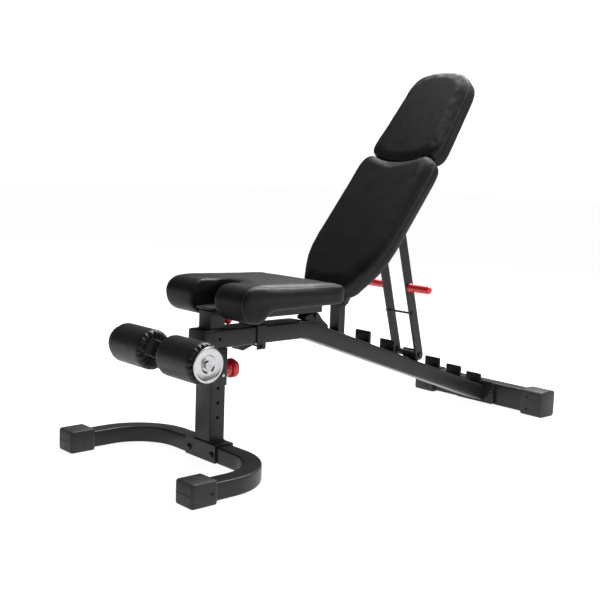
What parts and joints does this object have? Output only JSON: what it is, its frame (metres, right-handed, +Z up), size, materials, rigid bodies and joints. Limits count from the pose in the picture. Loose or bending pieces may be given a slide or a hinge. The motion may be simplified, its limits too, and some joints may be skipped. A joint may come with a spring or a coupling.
{
  "type": "decline sit up bench",
  "caption": "Adjustable decline sit-up bench with padded seat, reclining back and head pad, stepped strut ladder, foot rollers and a U-shaped front foot.",
  "frame": {"origin": "middle of the footprint, on the floor", "axes": "+X runs to the head end, +Y to the far side (the user's right when seated facing the rollers), +Z up"},
  "size_m": [1.5092, 0.623, 1.1051],
  "materials": {
    "frame_paint": "satin black powder coat",
    "dark_paint": "satin black paint",
    "zinc": "bright zinc plate",
    "black_steel": "blackened steel hardware",
    "cap_rubber": "moulded black rubber",
    "foam": "soft foam in smooth vinyl",
    "vinyl": "smooth black vinyl",
    "board": "dark backing board",
    "red_plastic": "red plastic",
    "black_plastic": "black plastic"
  },
  "bodies": {
    "frame": {"main_tube": "frame_paint", "frame_end_cap": "black_plastic", "post_sleeve": "frame_paint", "seat_post_sleeve": "frame_paint", "hook_plate": "dark_paint", "seat_strap": "frame_paint", "strap_bolt": "black_steel", "pivot_upright": "frame_paint", "seat_hinge_ear_near": "dark_paint", "seat_hinge_ear_far": "dark_paint", "seat_hinge_bolt": "black_steel", "back_pivot_bolt": "black_steel", "ladder_stop_1": "dark_paint", "ladder_stop_2": "dark_paint", "ladder_stop_3": "dark_paint", "ladder_stop_4": "dark_paint", "ladder_stop_5": "dark_paint", "ladder_stop_6": "dark_paint", "rear_flange": "frame_paint", "flange_bolt_near": "black_steel", "flange_bolt_far": "black_steel", "rear_foot_tube": "frame_paint", "rear_cap_near": "cap_rubber", "rear_cap_far": "cap_rubber", "roller_arm": "frame_paint", "roller_axle": "zinc", "sleeve_screw": "zinc", "post_pin_body": "black_plastic"},
    "foot": {"inner_post": "frame_paint", "foot_saddle": "frame_paint", "front_foot_tube": "frame_paint", "front_cap_near": "cap_rubber", "front_cap_far": "cap_rubber", "saddle_bolt_near": "black_steel", "saddle_bolt_far": "black_steel"},
    "post_pin": {"post_pin_knob": "red_plastic"},
    "seat_pin": {"seat_pin_knob": "red_plastic"},
    "seat_post": {"seat_post": "frame_paint"},
    "seat": {"seat_frame": "frame_paint", "seat_board": "board", "seat_pad": "vinyl"},
    "back": {"back_frame": "frame_paint", "back_board": "board", "back_pad": "vinyl", "head_board": "board", "head_pad": "vinyl", "strut_pivot_bolt": "black_steel"},
    "strut": {"strut_bar_near": "frame_paint", "strut_bar_far": "frame_paint", "strut_mid_rod": "black_steel", "strut_foot_rod": "black_steel", "grip_near": "red_plastic", "grip_far": "red_plastic"},
    "roller_near_body": {"roller_near": "foam", "roller_disc_near": "zinc"},
    "roller_far_body": {"roller_far": "foam", "roller_disc_far": "zinc"}
  },
  "joints": [
    {"name": "foot_height", "type": "slide", "parent": "frame", "child": "foot", "axis": [0, 0, -1], "range_m": [0, 0.08]},
    {"name": "post_pin_pull", "type": "slide", "parent": "frame", "child": "post_pin", "axis": [1, 0, 0], "range_m": [0, 0.012], "stiffness_N_per_m": 800},
    {"name": "seat_pin_pull", "type": "slide", "parent": "frame", "child": "seat_pin", "axis": [1, 0, 0], "range_m": [0, 0.01], "stiffness_N_per_m": 500},
    {"name": "seat_tilt", "type": "hinge", "parent": "frame", "child": "seat", "pos_m": [-0.1112, 0, 0.366], "axis": [0, 1, 0], "range_deg": [0, 6.3]},
    {"name": "seat_post_slide", "type": "slide", "parent": "frame", "child": "seat_post", "axis": [0, 0, 1], "range_m": [0, 0.04]},
    {"name": "back_recline", "type": "hinge", "parent": "frame", "child": "back", "pos_m": [-0.006, 0, 0.4028], "axis": [0, 1, 0], "range_deg": [-25, 0]},
    {"name": "strut_swing", "type": "hinge", "parent": "back", "child": "strut", "pos_m": [0.1933, 0, 0.6518], "axis": [0, 1, 0], "range_deg": [0, 23]},
    {"name": "roller_near_spin", "type": "hinge", "parent": "frame", "child": "roller_near_body", "pos_m": [-0.6271, -0.1103, 0.3063], "axis": [0, 1, 0], "continuous": true},
    {"name": "roller_far_spin", "type": "hinge", "parent": "frame", "child": "roller_far_body", "pos_m": [-0.6271, 0.1103, 0.3063], "axis": [0, 1, 0], "continuous": true}
  ],
  "couplings": [
    {"joint": "seat_post_slide", "follows": "seat_tilt", "m_per_rad": 0.355},
    {"joint": "strut_swing", "follows": "back_recline", "ratio": -0.9}
  ]
}
